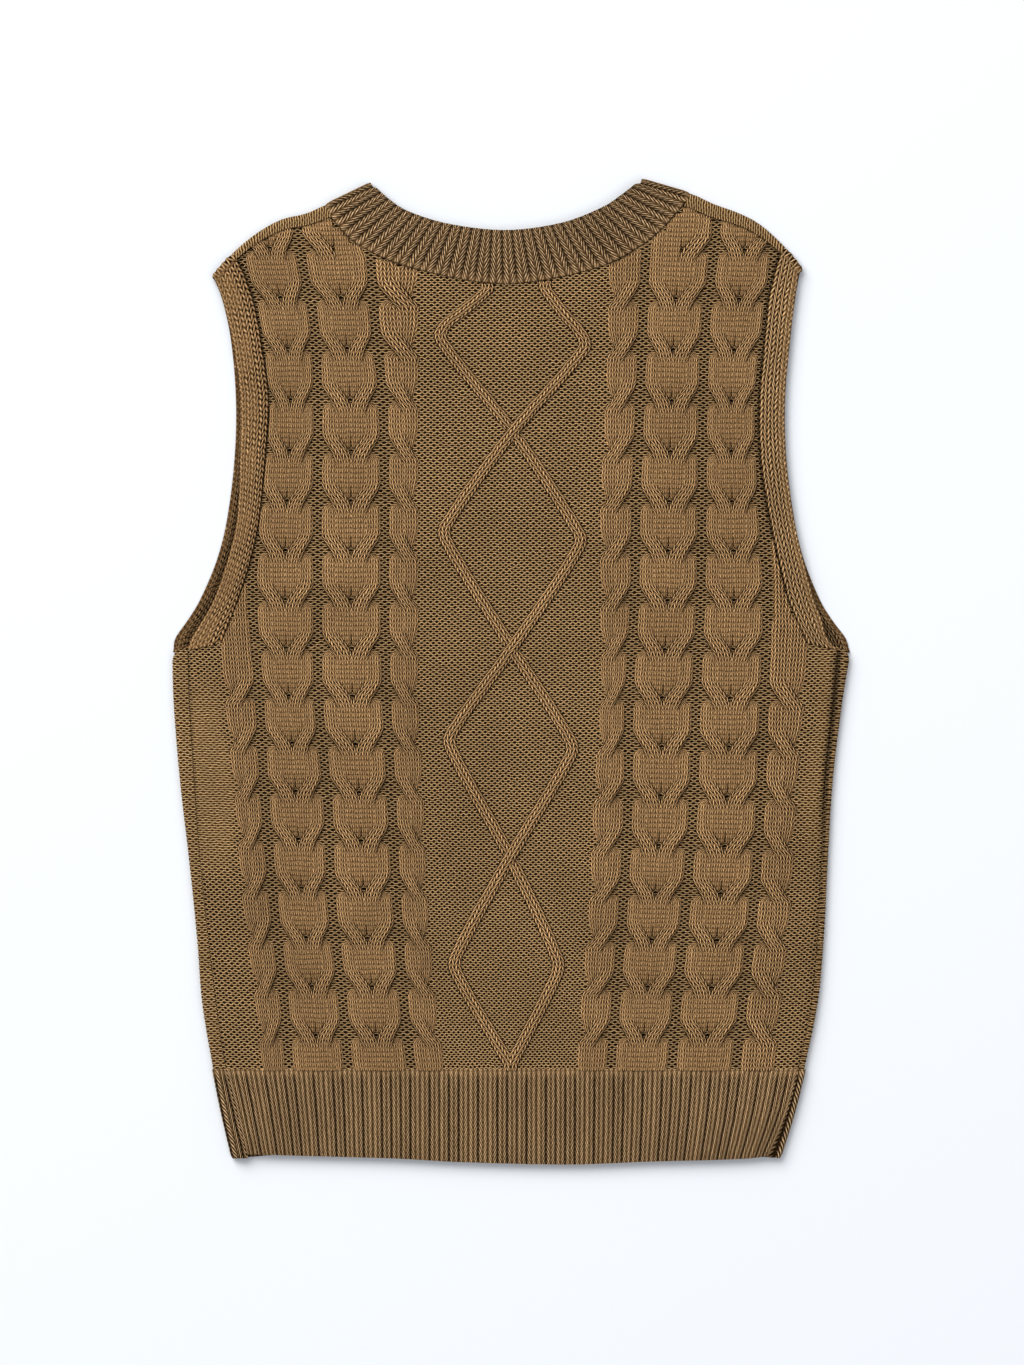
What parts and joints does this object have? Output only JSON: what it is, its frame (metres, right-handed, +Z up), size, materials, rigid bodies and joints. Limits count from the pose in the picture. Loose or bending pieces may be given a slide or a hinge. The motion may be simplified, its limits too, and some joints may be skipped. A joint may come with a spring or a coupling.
{
  "type": "knitted sweater vest",
  "caption": "Sleeveless cable-knit pullover laid flat, back up, with a round ribbed neckband, stockinette armhole edges and a ribbed hem.",
  "frame": {"origin": "middle of the box around the vest, on the surface that it lies on", "axes": "+Y from the hem to the neck, +Z up out of the surface through the back, +X to the right as seen from above"},
  "size_m": [0.4482, 0.6499, 0.0083],
  "materials": {
    "cable_knit": "matt cotton-blend yarn, cabled",
    "armhole_edging": "matt cotton-blend yarn, stockinette",
    "neck_rib": "matt cotton-blend yarn, 1x1 rib",
    "hem_rib": "matt cotton-blend yarn, 1x1 rib"
  },
  "bodies": {
    "root": {"back_panel": "cable_knit", "front_panel": "cable_knit", "neckband": "neck_rib", "armhole_edge_back_left": "armhole_edging", "armhole_edge_back_right": "armhole_edging", "armhole_edge_front_left": "armhole_edging", "armhole_edge_front_right": "armhole_edging", "hem_rib_back": "hem_rib", "hem_rib_front": "hem_rib"}
  },
  "joints": []
}
